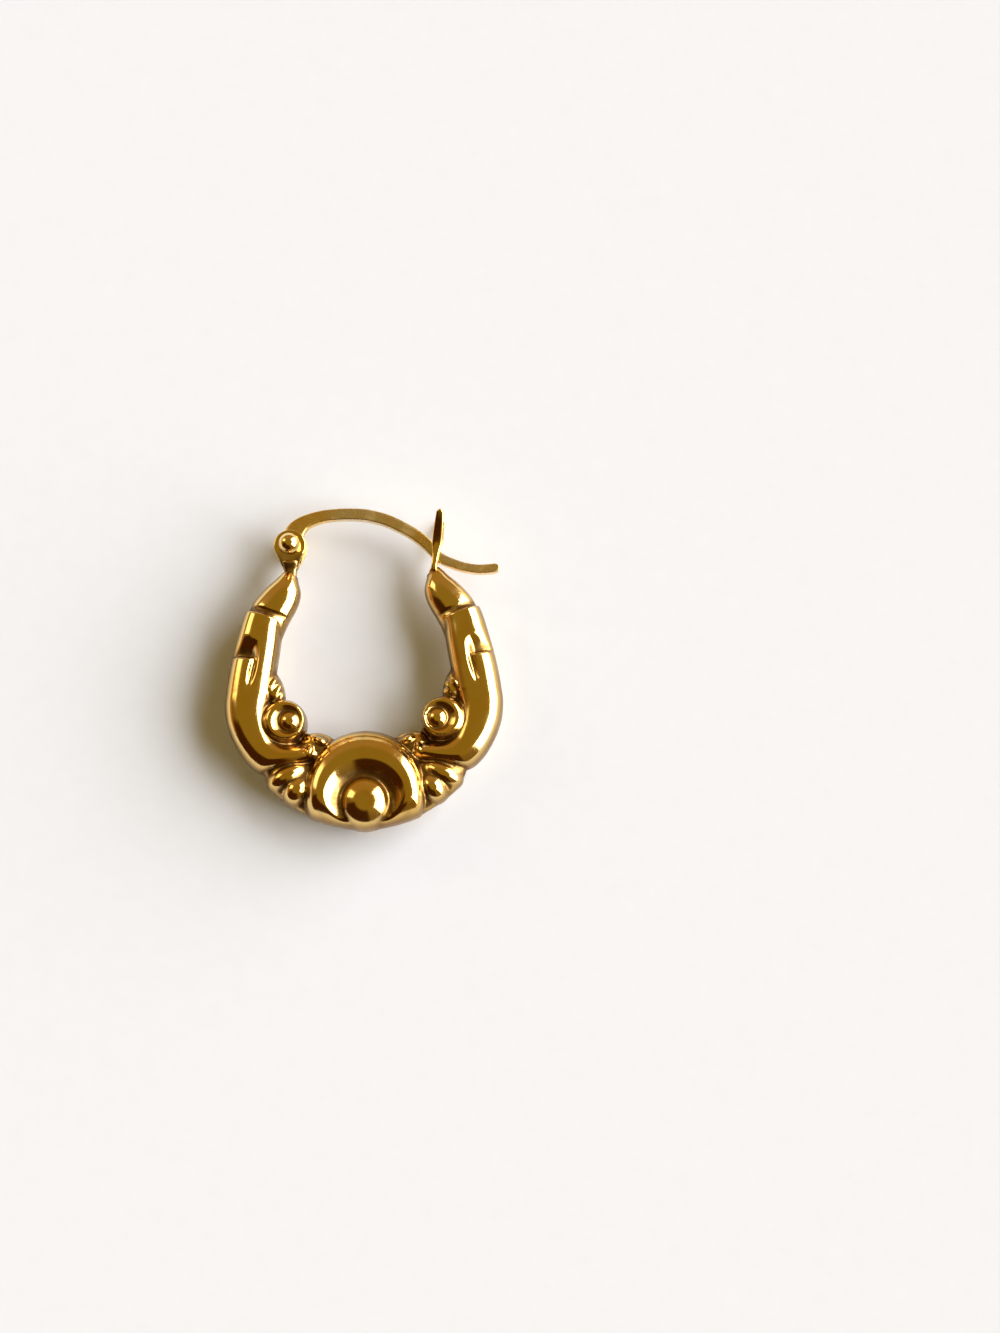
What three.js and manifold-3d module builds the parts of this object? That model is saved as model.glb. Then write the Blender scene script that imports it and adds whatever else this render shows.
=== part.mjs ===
// A creole hoop earring. Two stamped half shells are soldered into one puffed hoop, with a
// horseshoe shell and a boss at the bottom, then a petal, a volute and a leaf up each side, and
// a plain stem at each end. A flat ear wire turns on a ball-ended rivet in the hinge fork on
// the left stem, and drops between the two prongs of the catch on the right stem.
// Millimetres. The hoop lies on its back: x runs across it, y up to the ear wire, z through it.

import * as THREE from "three";
import { mergeVertices } from "three/addons/utils/BufferGeometryUtils.js";
import Module from "manifold-3d";

const wasm = await Module();
wasm.setup();

// Driving dimensions of the hoop
const HOOP_WIDTH = 19.0; // outside, across the two leaves
const HOOP_HEIGHT = 18.0; // from the two necks to the boss
const LYING_THICKNESS = 4.1; // the boss, the hinge balls and the catch tips all reach this
const STEM_WIDTH = 2.9;
const STEM_THICKNESS = 2.6;
const LEAF_WIDTH = 3.3;
const LEAF_THICKNESS = 3.3;
const BAND_WIDTH = 5.2; // the plain band under the petals, the shell and the boss
const BAND_THICKNESS = 2.1;
const SHELL_RADIUS = 4.2;
const SHELL_THICKNESS = 3.9;
const BOSS_RADIUS = 1.65;
const VOLUTE_RADIUS = 1.8;
const VOLUTE_THICKNESS = 3.4;
const EYE_RADIUS = 0.74;
const EYE_THICKNESS = 3.7;
const PETAL_LENGTH = 3.5;
const PETAL_WIDTH = 1.8;
const PETAL_THICKNESS = 2.9;
const NECK_RADIUS = 0.4; // the thin waist between a stem and what is soldered on it

// Driving dimensions of the hinge, the ear wire and the catch
const WIRE_WIDTH = 0.98;
const WIRE_THICKNESS = 0.76;
const WIRE_RISE = 2.14; // from the rivet up to the top of the arch
const HINGE_RISE = 1.85; // from the neck up to the rivet
const HINGE_DISC_RADIUS = 1.0;
const CHEEK_RADIUS = 1.1;
const CHEEK_THICKNESS = 0.35;
const RIVET_RADIUS = 0.3;
const BALL_RADIUS = 0.72;
const CATCH_HEIGHT = 3.9;
const CATCH_LEAN = 0.55; // how far the prong tips stand outside the neck
const CATCH_THROAT = 0.2; // from the neck up to the floor of the fork
const PRONG_WIDTH = 0.66;
const PRONG_THICKNESS = 0.35;
const SIDE_CLEARANCE = 0.06; // on each side of the wire, in the hinge and in the catch
const RIVET_CLEARANCE = 0.05;
const SEAT_CLEARANCE = 0.03; // under each ball

const HALF_WIDTH = HOOP_WIDTH / 2;
const HALF_HEIGHT = HOOP_HEIGHT / 2;
const HALF_LYING = LYING_THICKNESS / 2;

// The hoop's middle line is a flat half ellipse below and a tall one above. A place on it is
// given by its turn in degrees from the bottom, up the right-hand side to the neck.
const NECK_TURN = 138;
const SPINE = {
  reach: 0.774 * HALF_WIDTH,
  middle: 0.056 * HALF_HEIGHT,
  drop: 0.667 * HALF_HEIGHT,
  rise: 1.267 * HALF_HEIGHT,
};

// A point of the middle line, and the direction that points straight out of the hoop there.
function station(turn) {
  const angle = THREE.MathUtils.degToRad(turn);
  const tall = turn < 90 ? SPINE.drop : SPINE.rise;
  const out = new THREE.Vector3(tall * Math.sin(angle), -SPINE.reach * Math.cos(angle), 0);
  const point = new THREE.Vector3(
    SPINE.reach * Math.sin(angle),
    SPINE.middle - tall * Math.cos(angle),
    0,
  );
  return { point, out: out.normalize() };
}

const NECK = station(NECK_TURN).point;
const NECK_X = NECK.x;
const NECK_Y = NECK.y;
const SLOT_HALF = WIRE_THICKNESS / 2 + SIDE_CLEARANCE;
const CHEEK_FACE = SLOT_HALF + CHEEK_THICKNESS;

// Each row is an oval section across the middle line. out is how far its centre lies outside
// the line and width is its width, both as shares of the piece's full width. thick is a share of
// the piece's thickness.
const STEM_SECTIONS = [
  { turn: 138, out: -0.02, width: 0.27, thick: 0.3 },
  { turn: 136.5, out: -0.05, width: 0.48, thick: 0.56 },
  { turn: 133.4, out: -0.14, width: 0.66, thick: 0.76 },
  { turn: 130, out: -0.12, width: 0.81, thick: 0.88 },
  { turn: 126.6, out: -0.1, width: 0.92, thick: 0.95 },
  { turn: 121.3, out: -0.03, width: 1.0, thick: 1.0 },
  { turn: 116.6, out: 0.0, width: 0.97, thick: 1.0 },
  { turn: 108, out: 0.0, width: 0.86, thick: 0.9 },
];

// From the leaf's lip, down the outside and round under the volute to the shell.
const LEAF_SECTIONS = [
  { turn: 118.4, out: 0.0, width: 0.86, thick: 0.8 },
  { turn: 116.8, out: 0.0, width: 0.93, thick: 0.93 },
  { turn: 112, out: 0.0, width: 0.97, thick: 0.98 },
  { turn: 104, out: 0.02, width: 0.99, thick: 1.0 },
  { turn: 95, out: 0.08, width: 1.0, thick: 1.0 },
  { turn: 86, out: 0.16, width: 0.98, thick: 1.0 },
  { turn: 77, out: 0.22, width: 0.94, thick: 1.0 },
  { turn: 67, out: 0.255, width: 0.89, thick: 0.98 },
  { turn: 57, out: 0.275, width: 0.86, thick: 0.96 },
  { turn: 50, out: 0.22, width: 0.89, thick: 0.95 },
  { turn: 45, out: 0.06, width: 0.78, thick: 0.92 },
  { turn: 40, out: -0.09, width: 0.62, thick: 0.86 },
  { turn: 35, out: -0.22, width: 0.46, thick: 0.75 },
  { turn: 31, out: -0.3, width: 0.27, thick: 0.6 },
];

// Half of the plain band, from under the leaf to just past the middle of the shell.
const BAND_SECTIONS = [
  { turn: 52, out: 0.22, width: 0.24, thick: 0.7 },
  { turn: 46.5, out: 0.22, width: 0.44, thick: 0.9 },
  { turn: 40.5, out: 0.23, width: 0.61, thick: 1.0 },
  { turn: 32.5, out: 0.21, width: 0.71, thick: 1.0 },
  { turn: 23, out: 0.19, width: 0.84, thick: 1.0 },
  { turn: 10, out: 0.155, width: 0.96, thick: 1.0 },
  { turn: -3, out: 0.145, width: 1.0, thick: 1.0 },
];

// The rounding of the lower edge, which the shell is trimmed to. It is laid out
// like the band but much deeper.
const ROUNDING_SECTIONS = [
  { turn: 62, out: -0.17, width: 1.45, thick: 2.6 },
  { turn: 30, out: -0.17, width: 1.52, thick: 2.6 },
  { turn: -5, out: -0.17, width: 1.65, thick: 2.6 },
];

// The small puffed petals of the right-hand side. across and up place the middle as shares of
// half the hoop's width and height. length, width and thick are shares of a full petal's.
const PETALS = [
  { across: 0.55, up: -0.575, length: 0.88, width: 1.0, thick: 0.96, turn: -27 },
  { across: 0.49, up: -0.69, length: 0.76, width: 1.12, thick: 1.0, turn: -52 },
  { across: 0.35, up: -0.365, length: 0.86, width: 1.25, thick: 0.66, turn: 0 },
  { across: 0.31, up: -0.32, length: 0.4, width: 0.48, thick: 0.84, turn: 28 },
  { across: 0.39, up: -0.4, length: 0.42, width: 0.46, thick: 0.9, turn: -72 },
  { across: 0.625, up: 0.02, length: 0.85, width: 0.95, thick: 0.7, turn: 104 },
  { across: 0.615, up: 0.2, length: 0.4, width: 0.36, thick: 0.68, turn: -46 },
  { across: 0.6, up: 0.135, length: 0.46, width: 0.38, thick: 0.74, turn: -42 },
  { across: 0.575, up: 0.065, length: 0.52, width: 0.4, thick: 0.8, turn: -36 },
];

// The hollows of the fold in the right-hand leaf, front and back. across, up, length and width
// are as for a petal. lift is the height of the hollow's middle and deep its depth, as shares
// of half the leaf's thickness.
const FOLD = [
  { across: 0.872, up: 0.425, length: 0.42, width: 0.56, lift: 0.98, deep: 0.4, turn: 60 },
  { across: 0.83, up: 0.28, length: 0.5, width: 0.24, lift: 1.06, deep: 0.24, turn: 62 },
];

// The round ridge of the shell and of each volute. inward runs from the rim, 0, to the edge of
// the boss or eye, 1, and height is a share of half the thickness.
const RIDGE = [
  { inward: 0.015, height: 0.3 },
  { inward: 0.06, height: 0.58 },
  { inward: 0.14, height: 0.8 },
  { inward: 0.27, height: 0.95 },
  { inward: 0.42, height: 1.0 },
  { inward: 0.58, height: 0.94 },
  { inward: 0.76, height: 0.76 },
  { inward: 1.0, height: 0.58 },
];

// The ear wire's centre line, from the rivet to the tip of its tail. along is a share of the
// distance between the necks, rise a share of the arch's rise, width a share of the wire's.
const WIRE_ROUTE = [
  { along: 0.015, rise: 0.3, width: 1.75 },
  { along: 0.05, rise: 0.58, width: 1.5 },
  { along: 0.115, rise: 0.8, width: 1.14 },
  { along: 0.223, rise: 0.95, width: 1.0 },
  { along: 0.345, rise: 1.0, width: 1.0 },
  { along: 0.45, rise: 0.995, width: 1.0 },
  { along: 0.545, rise: 0.95, width: 1.0 },
  { along: 0.665, rise: 0.8, width: 1.0 },
  { along: 0.761, rise: 0.6, width: 1.0 },
  { along: 0.842, rise: 0.395, width: 0.98 },
  { along: 0.904, rise: 0.194, width: 0.98 },
  { along: 0.962, rise: -0.04, width: 0.95 },
  { along: 1.016, rise: -0.32, width: 0.88 },
  { along: 1.065, rise: -0.5, width: 0.82 },
  { along: 1.132, rise: -0.64, width: 0.8 },
  { along: 1.208, rise: -0.76, width: 0.78 },
  { along: 1.304, rise: -0.84, width: 0.78 },
  { along: 1.401, rise: -0.83, width: 0.78 },
  { along: 1.455, rise: -0.79, width: 0.74 },
];

// Turns a closed geometry into a solid.
function toSolid(geometry) {
  const bare = new THREE.BufferGeometry();
  bare.setAttribute("position", geometry.getAttribute("position").clone());
  bare.setIndex(geometry.index);
  const merged = mergeVertices(bare, 1e-4);
  const mesh = new wasm.Mesh({
    numProp: 3,
    vertProperties: merged.attributes.position.array,
    triVerts: new Uint32Array(merged.index.array),
  });
  return new wasm.Manifold(mesh);
}

// Turns a solid back into a geometry.
function toGeometry(solid) {
  const mesh = solid.getMesh();
  const geometry = new THREE.BufferGeometry();
  geometry.setAttribute("position", new THREE.BufferAttribute(mesh.vertProperties, 3));
  geometry.setIndex(new THREE.BufferAttribute(mesh.triVerts, 1));
  return geometry;
}

function joined(solids) {
  return solids.reduce((whole, solid) => whole.add(solid));
}

// A closed skin over rings of points, with a flat cap on the first and the last ring.
function loft(rings) {
  const count = rings[0].length;
  const points = rings.flat();
  const triangles = [];
  for (let ring = 0; ring < rings.length - 1; ring++) {
    for (let i = 0; i < count; i++) {
      const a = ring * count + i;
      const b = ring * count + ((i + 1) % count);
      triangles.push(a, b, a + count);
      triangles.push(b, b + count, a + count);
    }
  }
  for (let i = 1; i < count - 1; i++) {
    const last = (rings.length - 1) * count;
    triangles.push(0, i + 1, i);
    triangles.push(last, last + i, last + i + 1);
  }
  const geometry = new THREE.BufferGeometry().setFromPoints(points);
  geometry.setIndex(triangles);
  return toSolid(geometry);
}

// A smooth curve through one column of a table, from 0 at its first row to 1 at its last.
function columnCurve(rows, column) {
  const spline = new THREE.CatmullRomCurve3(
    rows.map((row, i) => new THREE.Vector3(i, row[column], 0)),
    false,
    "catmullrom",
    0.5,
  );
  return (share) => spline.getPoint(share).y;
}

// An arm of oval sections that stand across the hoop's middle line.
function ovalArm(rows, width, thickness, steps, sides) {
  const columns = ["turn", "out", "width", "thick"];
  const at = Object.fromEntries(columns.map((name) => [name, columnCurve(rows, name)]));
  const rings = [];
  for (let step = 0; step <= steps; step++) {
    const share = step / steps;
    const { point, out } = station(at.turn(share));
    const halfWidth = (at.width(share) * width) / 2;
    const halfThick = (at.thick(share) * thickness) / 2;
    const ring = [];
    for (let i = 0; i < sides; i++) {
      const round = (2 * Math.PI * i) / sides;
      const across = at.out(share) * width + halfWidth * Math.cos(round);
      ring.push(point.clone().addScaledVector(out, across).setZ(halfThick * Math.sin(round)));
    }
    rings.push(ring);
  }
  return loft(rings);
}

// A puffed disc with a round ridge. Its rings are circles that pass from the rim's circle to
// the eye's, so the ridge is wide where the two are far apart and narrow where they are close.
function ridgedDisc(rim, eye, thickness, sides) {
  const circle = (inward, z) =>
    Array.from({ length: sides }, (_, i) => {
      const turn = (2 * Math.PI * i) / sides;
      const radius = THREE.MathUtils.lerp(rim.radius, eye.radius, inward);
      return new THREE.Vector3(
        THREE.MathUtils.lerp(rim.x, eye.x, inward) + radius * Math.cos(turn),
        THREE.MathUtils.lerp(rim.y, eye.y, inward) + radius * Math.sin(turn),
        z,
      );
    });
  const front = RIDGE.map((row) => circle(row.inward, (row.height * thickness) / 2));
  const back = RIDGE.map((row) => circle(row.inward, (-row.height * thickness) / 2));
  return loft([...back.reverse(), circle(0, 0), ...front]);
}

// An oval dome on both faces, turned in the plane of the hoop.
function puff({ x, y, length, width, thickness, turn = 0 }, around, rows) {
  const ball = new THREE.SphereGeometry(1, around, rows);
  ball.rotateX(Math.PI / 2);
  ball.scale(length / 2, width / 2, thickness / 2);
  ball.rotateZ(turn);
  ball.translate(x, y, 0);
  return toSolid(ball);
}

// The same piece on the other side of the hoop.
function mirrored(solid) {
  return solid.mirror([1, 0, 0]);
}

function bothSides(solid) {
  return solid.add(mirrored(solid));
}

// The horseshoe shell, trimmed to the rounding of the lower edge, with the boss in its mouth.
function shell() {
  const boss = { x: 0, y: -HALF_HEIGHT + 0.98 * BOSS_RADIUS, radius: BOSS_RADIUS };
  const rim = { x: 0, y: -HALF_HEIGHT + 0.64 * SHELL_RADIUS, radius: SHELL_RADIUS };
  const floor = { ...boss, radius: 0.96 * BOSS_RADIUS };
  const half = ovalArm(ROUNDING_SECTIONS, BAND_WIDTH, BAND_THICKNESS, 12, 28);
  const dome = puff(
    {
      x: boss.x,
      y: boss.y,
      length: 2 * BOSS_RADIUS,
      width: 2 * BOSS_RADIUS,
      thickness: LYING_THICKNESS,
    },
    20,
    12,
  );
  return ridgedDisc(rim, floor, SHELL_THICKNESS, 36).intersect(bothSides(half)).add(dome);
}

// The right-hand volute: a ridged disc round a raised eye.
function volute() {
  const rim = { x: 0.555 * HALF_WIDTH, y: -0.25 * HALF_HEIGHT, radius: VOLUTE_RADIUS };
  const eye = { x: rim.x - 0.19 * VOLUTE_RADIUS, y: rim.y + 0.11 * VOLUTE_RADIUS };
  const bead = puff(
    {
      x: eye.x,
      y: eye.y,
      length: 2 * EYE_RADIUS,
      width: 2 * EYE_RADIUS,
      thickness: EYE_THICKNESS,
    },
    14,
    8,
  );
  return ridgedDisc(rim, { ...eye, radius: EYE_RADIUS }, VOLUTE_THICKNESS, 20).add(bead);
}

// One small petal of the right-hand side.
function petal({ across, up, length, width, thick, turn }) {
  return puff(
    {
      x: across * HALF_WIDTH,
      y: up * HALF_HEIGHT,
      length: length * PETAL_LENGTH,
      width: width * PETAL_WIDTH,
      thickness: thick * PETAL_THICKNESS,
      turn: THREE.MathUtils.degToRad(turn),
    },
    10,
    6,
  );
}

// The fork that is soldered on the left stem: a web and two round cheeks, drilled for the rivet.
function hingeFork() {
  const rivetY = NECK_Y + HINGE_RISE;
  const webTop = rivetY - HINGE_DISC_RADIUS - SIDE_CLEARANCE;
  const ring = (y, halfWidth, halfThick) =>
    [
      [-1, -1],
      [-1, 1],
      [1, 1],
      [1, -1],
    ].map(([sx, sz]) => new THREE.Vector3(-NECK_X + sx * halfWidth, y, sz * halfThick));
  const web = loft([
    ring(NECK_Y - NECK_RADIUS, NECK_RADIUS, NECK_RADIUS),
    ring(NECK_Y, NECK_RADIUS, NECK_RADIUS),
    ring(webTop, 0.62 * CHEEK_RADIUS, CHEEK_FACE),
  ]);
  const outline = new THREE.Shape();
  outline.moveTo(0.62 * CHEEK_RADIUS, webTop - rivetY - CHEEK_THICKNESS / 2);
  outline.absarc(0, 0, CHEEK_RADIUS, -0.25 * Math.PI, 1.25 * Math.PI, false);
  outline.lineTo(-0.62 * CHEEK_RADIUS, webTop - rivetY - CHEEK_THICKNESS / 2);
  const drilled = new THREE.Path();
  drilled.absarc(0, 0, RIVET_RADIUS + RIVET_CLEARANCE, 0, 2 * Math.PI, true);
  outline.holes.push(drilled);
  const plate = new THREE.ExtrudeGeometry(outline, {
    depth: CHEEK_THICKNESS,
    curveSegments: 14,
    bevelEnabled: false,
  });
  plate.translate(-NECK_X, rivetY, 0);
  const front = toSolid(plate.clone().translate(0, 0, SLOT_HALF));
  const back = toSolid(plate.clone().translate(0, 0, -CHEEK_FACE));
  return joined([web, front, back]);
}

// The catch that is soldered on the right stem: a fork whose prongs spread towards their tips.
function catchFork() {
  const straight = CATCH_THROAT + 0.36 * CATCH_HEIGHT;
  const outer = [
    [NECK_RADIUS, -NECK_RADIUS],
    [NECK_RADIUS, 0],
    [CHEEK_FACE, CATCH_THROAT],
    [CHEEK_FACE + 0.1 * PRONG_THICKNESS, straight],
    [HALF_LYING, CATCH_HEIGHT - 0.3 * PRONG_THICKNESS],
    [HALF_LYING - 0.5 * PRONG_THICKNESS, CATCH_HEIGHT],
  ];
  const inner = [
    [HALF_LYING - PRONG_THICKNESS, CATCH_HEIGHT - 0.2 * PRONG_THICKNESS],
    [SLOT_HALF + 0.1 * PRONG_THICKNESS, straight],
    [SLOT_HALF, CATCH_THROAT],
  ];
  const side = [...outer, ...inner];
  const profile = [...side, ...side.toReversed().map(([z, rise]) => [-z, rise])];
  const fork = new THREE.ExtrudeGeometry(
    new THREE.Shape(profile.map(([z, rise]) => new THREE.Vector2(z, rise))),
    { depth: PRONG_WIDTH, bevelEnabled: false },
  );
  fork.translate(0, 0, -PRONG_WIDTH / 2);
  fork.rotateY(Math.PI / 2);
  const lean = new THREE.Matrix4().makeShear(0, 0, CATCH_LEAN / CATCH_HEIGHT, 0, 0, 0);
  fork.applyMatrix4(lean);
  fork.translate(NECK_X, NECK_Y, 0);
  return toSolid(fork);
}

// One hollow of the fold and its twin on the back.
function hollow({ across, up, length, width, lift, deep, turn }) {
  const front = puff(
    {
      x: across * HALF_WIDTH,
      y: up * HALF_HEIGHT,
      length: length * PETAL_LENGTH,
      width: width * PETAL_WIDTH,
      thickness: deep * LEAF_THICKNESS,
      turn: THREE.MathUtils.degToRad(turn),
    },
    10,
    6,
  ).translate([0, 0, (lift * LEAF_THICKNESS) / 2]);
  return front.add(front.mirror([0, 0, 1]));
}

function hoopBody() {
  const stem = ovalArm(STEM_SECTIONS, STEM_WIDTH, STEM_THICKNESS, 13, 14);
  const leaf = ovalArm(LEAF_SECTIONS, LEAF_WIDTH, LEAF_THICKNESS, 24, 16);
  const band = ovalArm(BAND_SECTIONS, BAND_WIDTH, BAND_THICKNESS, 12, 14);
  const folded = leaf.subtract(joined(FOLD.map(hollow)));
  const side = joined([stem, folded, band, volute(), ...PETALS.map(petal)]);
  return joined([shell(), bothSides(side), hingeFork(), catchFork()]);
}

// The rivet: a pin with a ball on each end, each cut flat where it sits on a cheek.
function hingeRivet() {
  const centre = HALF_LYING - BALL_RADIUS;
  const seat = CHEEK_FACE + SEAT_CLEARANCE;
  const seatAngle = Math.acos((seat - centre) / BALL_RADIUS);
  const half = [];
  const steps = 8;
  for (let step = 0; step <= steps; step++) {
    const angle = (seatAngle * step) / steps;
    half.push([BALL_RADIUS * Math.sin(angle), centre + BALL_RADIUS * Math.cos(angle)]);
  }
  half.push([RIVET_RADIUS, seat]);
  const profile = [...half.map(([r, z]) => [r, -z]), ...half.toReversed()];
  const lathe = new THREE.LatheGeometry(
    profile.map(([r, z]) => new THREE.Vector2(Math.max(r, 0), z)),
    16,
  );
  lathe.rotateX(Math.PI / 2);
  lathe.translate(-NECK_X, NECK_Y + HINGE_RISE, 0);
  return toSolid(lathe);
}

// The flat ear wire: a ribbon along its route, with a drilled disc at the hinge end.
function earWire() {
  const rivet = new THREE.Vector2(-NECK_X, NECK_Y + HINGE_RISE);
  const reach = 2 * NECK_X;
  const at = {
    along: columnCurve(WIRE_ROUTE, "along"),
    rise: columnCurve(WIRE_ROUTE, "rise"),
    width: columnCurve(WIRE_ROUTE, "width"),
  };
  const centre = (share) =>
    new THREE.Vector2(rivet.x + at.along(share) * reach, rivet.y + at.rise(share) * WIRE_RISE);
  const steps = 44;
  const upper = [];
  const lower = [];
  for (let step = 0; step <= steps; step++) {
    const share = step / steps;
    const along = centre(Math.min(1, share + 0.01)).sub(centre(Math.max(0, share - 0.01)));
    along.normalize();
    const half = (at.width(share) * WIRE_WIDTH) / 2;
    const side = new THREE.Vector2(-along.y, along.x).multiplyScalar(half);
    upper.push(centre(share).add(side));
    lower.push(centre(share).sub(side));
  }
  const thickness = { depth: WIRE_THICKNESS, curveSegments: 12, bevelEnabled: false };
  const ribbon = new THREE.ExtrudeGeometry(
    new THREE.Shape([...lower, ...upper.toReversed()]),
    thickness,
  );
  const tip = new THREE.Shape().absarc(
    centre(1).x,
    centre(1).y,
    (at.width(1) * WIRE_WIDTH) / 2,
    0,
    2 * Math.PI,
  );
  const disc = new THREE.Shape().absarc(rivet.x, rivet.y, HINGE_DISC_RADIUS, 0, 2 * Math.PI);
  const hole = new THREE.Shape().absarc(
    rivet.x,
    rivet.y,
    RIVET_RADIUS + RIVET_CLEARANCE,
    0,
    2 * Math.PI,
  );
  const flat = (shape) => toSolid(new THREE.ExtrudeGeometry(shape, thickness));
  const whole = joined([toSolid(ribbon), flat(tip), flat(disc)]).subtract(flat(hole));
  return whole.translate([0, 0, -WIRE_THICKNESS / 2]);
}

function gold(solid, name, colour, roughness) {
  const material = new THREE.MeshStandardMaterial({ color: colour, roughness, metalness: 1 });
  const mesh = new THREE.Mesh(toGeometry(solid), material);
  mesh.name = name;
  return mesh;
}

const earring = new THREE.Group();
earring.add(gold(hoopBody(), "hoop_body", 0xd9a62e, 0.15));
earring.add(gold(hingeRivet(), "hinge_rivet", 0xd9a62e, 0.12));
earring.add(gold(earWire(), "ear_wire", 0xcf9c34, 0.25));

// The origin is under the middle of the whole earring, on the surface that it lies on.
const bounds = new THREE.Box3().setFromObject(earring, true);
const middle = bounds.getCenter(new THREE.Vector3());
earring.position.set(-middle.x, -middle.y, -bounds.min.z);

export default earring;
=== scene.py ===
"""A gold creole hoop earring with scroll relief, lying on a pale floor.

The hoop's two stamped shells are one skin. It is found by looking in at a flat core inside the
hoop, at every place along it and from every side of it, for the outside of a few blended forms:
stems, leaves, volutes, petals, a shell and a boss. Sizes are in millimetres in the hoop's own
frame, whose middle is the middle of the hoop, and become metres when a mesh is made.
"""

import math

import bpy
import numpy as np
from mathutils import Euler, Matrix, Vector


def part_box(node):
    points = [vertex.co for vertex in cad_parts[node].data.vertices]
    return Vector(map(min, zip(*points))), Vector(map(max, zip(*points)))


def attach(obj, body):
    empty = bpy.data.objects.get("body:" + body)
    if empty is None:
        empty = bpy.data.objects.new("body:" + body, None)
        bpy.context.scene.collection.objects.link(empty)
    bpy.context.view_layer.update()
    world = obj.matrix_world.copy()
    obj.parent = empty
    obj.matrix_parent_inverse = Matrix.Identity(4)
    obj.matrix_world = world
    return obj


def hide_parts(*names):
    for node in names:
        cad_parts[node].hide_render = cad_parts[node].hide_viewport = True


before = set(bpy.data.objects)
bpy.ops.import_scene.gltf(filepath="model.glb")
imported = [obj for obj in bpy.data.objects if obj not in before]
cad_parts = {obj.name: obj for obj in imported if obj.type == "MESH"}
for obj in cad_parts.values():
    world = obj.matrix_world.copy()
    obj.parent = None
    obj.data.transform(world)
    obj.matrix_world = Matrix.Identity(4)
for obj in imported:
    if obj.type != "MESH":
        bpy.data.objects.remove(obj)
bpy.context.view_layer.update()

MM = 0.001

# Sizes of the hoop
HOOP_WIDTH = 19.0
HOOP_HEIGHT = 18.0
LYING_THICKNESS = 4.1
STEM = {"width": 2.9, "thick": 2.6}
LEAF = {"width": 3.3, "thick": 3.3}
BAND = {"width": 5.2, "thick": 2.1}
SHELL_RADIUS = 4.2
SHELL_THICKNESS = 3.9
BOSS_RADIUS = 1.65
VOLUTE_RADIUS = 1.55
VOLUTE_THICKNESS = 3.4
EYE_RADIUS = 0.74
EYE_THICKNESS = 3.7
PETAL = {"length": 3.5, "width": 1.8, "thick": 2.9}

# Sizes of the hinge, the ear wire and the catch
WIRE_WIDTH = 0.83
WIRE_THICKNESS = 0.76
WIRE_RISE = 2.22
HINGE_RISE = 1.85
HINGE_DISC_RADIUS = 1.0
CHEEK_RADIUS = 1.1
CHEEK_THICKNESS = 0.35
RIVET_RADIUS = 0.3
BALL_RADIUS = 0.72
CATCH_HEIGHT = 3.9
CATCH_LEAN = 0.55
PRONG_WIDTH = 0.66
PRONG_THICKNESS = 0.35
SIDE_CLEARANCE = 0.06

HALF_WIDTH = HOOP_WIDTH / 2
HALF_HEIGHT = HOOP_HEIGHT / 2
HALF_LYING = LYING_THICKNESS / 2
SLOT_HALF = WIRE_THICKNESS / 2 + SIDE_CLEARANCE
CHEEK_FACE = SLOT_HALF + CHEEK_THICKNESS

NECK_TURN = 138.0
SPINE_REACH = 0.774 * HALF_WIDTH
SPINE_MIDDLE = 0.056 * HALF_HEIGHT
SPINE_DROP = 0.667 * HALF_HEIGHT
SPINE_RISE = 1.267 * HALF_HEIGHT

# How finely the skin of the hoop is made: samples of half the middle line, rings along the whole
# hoop, and lines in each quarter turn of a ring's two round ends and across each of its faces
SPINE_SAMPLES = 4000
SKIN_STATIONS = 500
SKIN_QUARTER = 22
SKIN_FACE = 52

# How the skin is found: each line starts this far out, steps in by this much until this place,
# and then halves its last step this many times
SEARCH_START = 2.5
SEARCH_STEP = 0.1
SEARCH_END = -1.0
SEARCH_HALVINGS = 14

# How far below the smoothed skin a crease is fully dark, and how many points away the neighbours
# are that each pass of the smoothing takes in
CREASE_DEPTH = 0.065
CREASE_PASSES = (1, 2, 3, 2, 1)

# How fast the distance grows past an arm's end, in millimetres a degree
PAST_END = 0.12

# A dish's lip line, its place and its width, and where the dish's fall ends, all as shares of the
# way from the rim to the inner circle
LIP_PLACE = 0.17
LIP_WIDTH = 0.035
FALL_END = 0.95

# Oval sections across the middle line: turn in degrees from the bottom, centre outside the line
# and width as shares of the full width, thick as a share of the full thickness.
STEM_SECTIONS = np.array(
    [
        (142.0, -0.02, 0.27, 0.28),
        (138.0, -0.02, 0.27, 0.3),
        (136.5, -0.05, 0.48, 0.56),
        (133.4, -0.14, 0.66, 0.76),
        (130.0, -0.12, 0.81, 0.88),
        (126.6, -0.1, 0.92, 0.95),
        (121.3, -0.03, 1.0, 1.0),
        (116.6, 0.0, 0.97, 1.0),
        (108.0, 0.0, 0.86, 0.9),
    ],
    dtype=[("turn", float), ("out", float), ("width", float), ("thick", float)],
)
LEAF_SECTIONS = np.array(
    [
        (120.0, 0.07, 0.8, 0.93),
        (115.0, 0.07, 0.84, 0.96),
        (110.0, 0.045, 0.9, 0.99),
        (104.0, 0.05, 0.94, 1.0),
        (95.0, 0.09, 0.98, 1.0),
        (86.0, 0.16, 0.98, 1.0),
        (77.0, 0.22, 0.94, 1.0),
        (67.0, 0.255, 0.89, 0.98),
        (57.0, 0.275, 0.86, 0.96),
        (50.0, 0.22, 0.89, 0.95),
        (45.0, 0.06, 0.78, 0.92),
        (40.0, -0.09, 0.62, 0.86),
        (35.0, -0.22, 0.46, 0.75),
        (31.0, -0.3, 0.27, 0.6),
    ],
    dtype=STEM_SECTIONS.dtype,
)
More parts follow.
